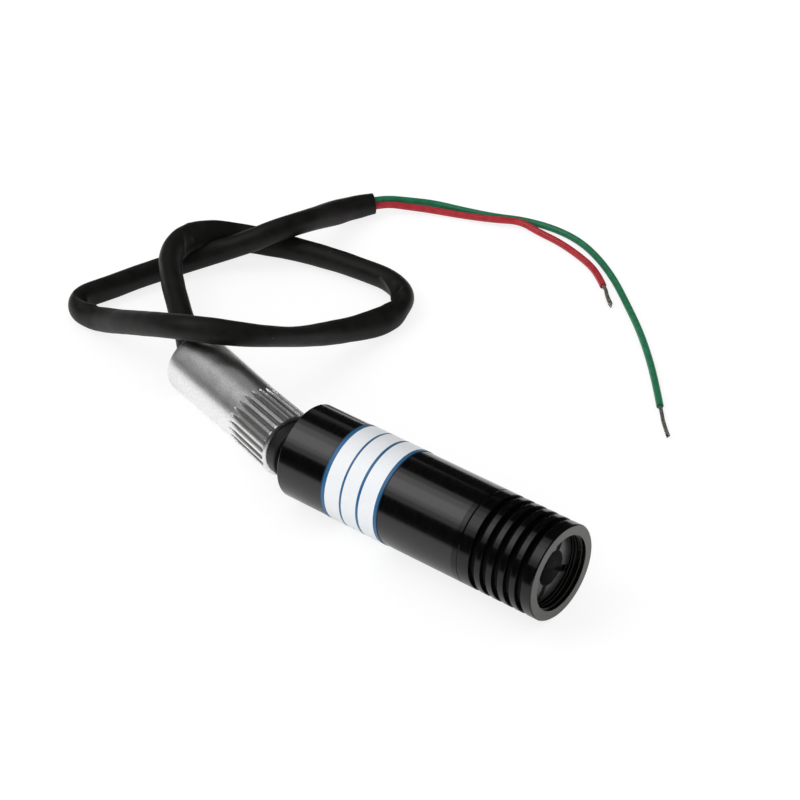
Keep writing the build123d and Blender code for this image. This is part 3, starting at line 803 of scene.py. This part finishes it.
def crease_height(run, angle):
    """Height of the folds: each is a line from one (distance, degrees) to another, a width and a height."""
    total = 0.0
    for run_a, turn_a, run_b, turn_b, width, height in sleeve_creases:
        if not min(run_a, run_b) - crease_reach < run < max(run_a, run_b) + crease_reach:
            continue
        spot = Vector((run - run_a, ((angle - radians(turn_a) + pi) % tau - pi) * sleeve_d / 2))
        line = Vector((run_b - run_a, radians(turn_b - turn_a) * sleeve_d / 2))
        part = min(max(spot.dot(line) / line.length_squared, 0.0), 1.0)
        total += height * exp(-(((spot - line * part).length / width) ** 2)) * (1 - 0.5 * part)
    return total


def sleeve_section(run, angle):
    """Oval of the sleeve by its form's width, height and turn, with its folds and a little unevenness."""
    wide, high, turn = between(sleeve_forms, run)
    tilt = radians(turn)
    across, above = wide / 2 * cos(angle - tilt), high / 2 * sin(angle - tilt)
    spot = Vector((run * uneven_along, cos(angle) * uneven_round, sin(angle) * uneven_round))
    uneven = uneven_height * noise.noise(spot)
    size = 1 + (uneven + crease_height(run, angle)) / (sleeve_d / 2)
    side = size * (across * cos(tilt) - above * sin(tilt))
    up = size * (across * sin(tilt) + above * cos(tilt))
    return side, up


sleeve_exit = plug_place @ Vector((-sleeve_entry, 0, 0))
sleeve_points = [sleeve_exit, plug_place @ Vector((-cover_length - straight_out, 0, 0))]
sleeve_points += laid(sleeve_route, sleeve_lay)
sleeve_line = route_line("sleeve_line", sleeve_points)
sleeve_frames = frames_along(sleeve_line)
sleeve_length = sleeve_frames[-1][0]
inner_share = 1 - 2 * sleeve_wall / sleeve_d
inner_end = sleeve_length - open_depth
sleeve_outline = [
    (0, 0), (0, 1), (sleeve_length, 1), (sleeve_length, inner_share), (inner_end, inner_share),
    (inner_end, 0),
]
sleeve_shell = turned(sleeve_outline, 52, closed=False, cuts={1: 1100, 3: 12})
fold_sheen = sleeve_shell.verts.layers.float.new("fold_sheen")
for point in sleeve_shell.verts:
    point[fold_sheen] = crease_height(point.co.x, atan2(point.co.z, point.co.y))
ahead = sleeve_frames[-1][2]
end_place = sleeve_frames[-1][1]
laid_along(sleeve_shell, sleeve_frames, sleeve_section)
for point in sleeve_shell.verts:
    off = point.co - end_place
    beyond = off.dot(ahead)
    if off.length < 2 * lean_reach and beyond > -lean_reach:
        point.co -= ahead * (off - ahead * beyond).dot(cut_lean) * (1 + beyond / lean_reach)

black_sleeving = finish(
    "black_sleeving", (0.0076, 0.0072, 0.0066), (0.0112, 0.0106, 0.0097), (0.42, 0.52), 420, 5e-6,
    Specular_IOR_Level=0.20,
)
tree = black_sleeving.node_tree
surface = tree.nodes["Principled BSDF"]
bare = surface.inputs["Base Color"].links[0].from_socket
place = add_node(tree, "TexCoord").outputs["Object"]
speck = add_node(tree, "TexVoronoi", {"Vector": place, "Scale": dust_scale}).outputs["Distance"]
dust = ramp(tree, speck, dust_from, dust_to, dust_most, 0.0)
dusty = mixed_colour(tree, dust, bare, dust_grey)
folded = add_node(tree, "Attribute", attribute_name="fold_sheen").outputs["Fac"]
# Painted highlight on the fold ridges, lighter where they stand higher.
roughness_drift_and_fold_sheen = ramp(tree, folded, fold_sheen_from, fold_sheen_to, 0.0, fold_sheen_most)
roughness_drift_and_fold_sheen = mixed_colour(tree, roughness_drift_and_fold_sheen, dusty, fold_sheen_grey)
tree.links.new(roughness_drift_and_fold_sheen, surface.inputs["Base Color"])
sleeve = add_piece("sleeve", sleeve_shell, black_sleeving, "black_sleeve", "cable_sleeve", sharp=60)

# Wires. A green and a red stranded wire leave the sleeve's end side by side and part, each cut to its
# own length, with its insulation stripped from strands that are twisted together and tinned.
wire_d = 1.25
wire_exit = 2.5
wire_inside = 3.0
wire_beside = 0.56
wire_above = 0.29
core_recess = 0.35
core_share = 0.55
core_mouth_share = 0.62
strand_pitch = 3.6
strand_r = 0.115
strand_stagger = 0.35
bundle_r = 0.235
wire_lay = rest_z / mm + wire_d / 2 + floor_gap
green_route = [
    (-40.8, 77.8, 0.6), (-37.2, 80.3, 0.2), (-32.0, 81.9, 0.0), (-25.9, 83.8, 0.0), (-21.1, 86.2, 0.0),
    (-15.0, 87.4, 0.0), (-9.1, 86.9, 0.0), (-3.2, 84.5, 0.0), (3.1, 80.6, 0.0), (9.1, 75.8, 0.0),
    (16.1, 70.0, 0.0), (22.3, 64.0, 0.0), (27.6, 58.3, 0.0), (31.6, 53.7, 0.0),
]
red_route = [
    (-40.0, 75.6, 0.7), (-36.6, 78.0, 0.2), (-30.8, 80.3, 0.1), (-24.9, 82.5, 0.4), (-21.0, 85.0, 0.4),
    (-16.5, 84.5, 0.1), (-11.1, 84.2, 0.0), (-4.2, 82.2, 0.0), (-0.1, 80.1, 0.0), (3.0, 77.5, 0.0),
]
green_strand_route = [(32.8, 52.4, 0.0), (34.8, 50.0, 0.0), (37.6, 47.4, 0.0)]
red_strand_route = [(4.0, 76.9, 0.0), (5.6, 75.0, 0.0), (7.8, 73.2, 0.0)]
green_cover = finish("green_cover", (0.007, 0.160, 0.070), (0.012, 0.205, 0.092), (0.34, 0.46), 900, 2e-6)
tinned = finish("tinned", (0.20, 0.185, 0.165), (0.42, 0.41, 0.38), (0.32, 0.5), 2500, 4e-6, Metallic=1.0)
way_out = (sleeve_points[-1] - sleeve_points[-2]).normalized()
beside = Vector((-way_out.y, way_out.x, 0)).normalized()
across = beside * wire_beside + way_out.cross(beside) * wire_above


def round_section(radius):
    """Section function of a plain round cord."""
    return lambda run, angle: (radius * cos(angle), radius * sin(angle))


def twisted_strands(line, fray):
    """Six strands twisted round a seventh along a line, opening towards their cut ends by a share fray."""
    frames = frames_along(line)
    length = frames[-1][0]
    bundle = bmesh.new()
    for i in range(7):
        lay_r = bundle_r if i < 6 else 0.0
        strand_line = []
        for run, place, ahead, side, up in frames:
            turn = tau * (i / 6 + run / strand_pitch)
            out = lay_r * (1 + fray * (run / length) ** 2)
            strand_line.append(place + (side * cos(turn) + up * sin(turn)) * out)
        strand_frames = frames_along(strand_line)
        end = strand_frames[-1][0] - strand_stagger * (i % 3)
        strand = turned([(0, 0), (0, 1), (end, 1, 0.08), (end, 0)], 10, closed=False, cuts={1: 48})
        laid_along(strand, strand_frames, round_section(strand_r))
        join_shell(bundle, strand)
    return bundle


def wire_shell(frames):
    """Insulated wire with a cut end whose insulation stands out round the recessed core."""
    length = frames[-1][0]
    core_end = length - core_recess
    outline = [
        (0, 0), (0, 1), (length, 1, 0.06), (length, core_mouth_share, 0.05), (core_end, core_share),
        (core_end, 0),
    ]
    shell = turned(outline, 24, closed=False, cuts={1: 220})
    laid_along(shell, frames, round_section(wire_d / 2))
    return shell


wires = {
    "green": (1, green_route, green_strand_route, green_cover, 0.1),
    "red": (-1, red_route, red_strand_route, red_cover, 0.5),
}
for colour, (level, wire_route, strand_route, paint, fray) in wires.items():
    start = sleeve_points[-1] + across * level
    wire_points = [start, start + way_out * wire_exit] + laid(wire_route, wire_lay)
    wire_line = [start - way_out * wire_inside] + route_line(colour + "_line", wire_points)
    wire_frames = frames_along(wire_line)
    shell = wire_shell(wire_frames)
    wire = add_piece(colour + "_wire", shell, paint, colour + "_insulation", colour + "_lead", sharp=50)
    strand_line = route_line(colour + "_ends", [wire_points[-1]] + laid(strand_route, wire_lay))
    bundle = twisted_strands(strand_line, fray)
    ends = add_piece(colour + "_ends", bundle, tinned, "tinned_copper", colour + "_strands", sharp=50)
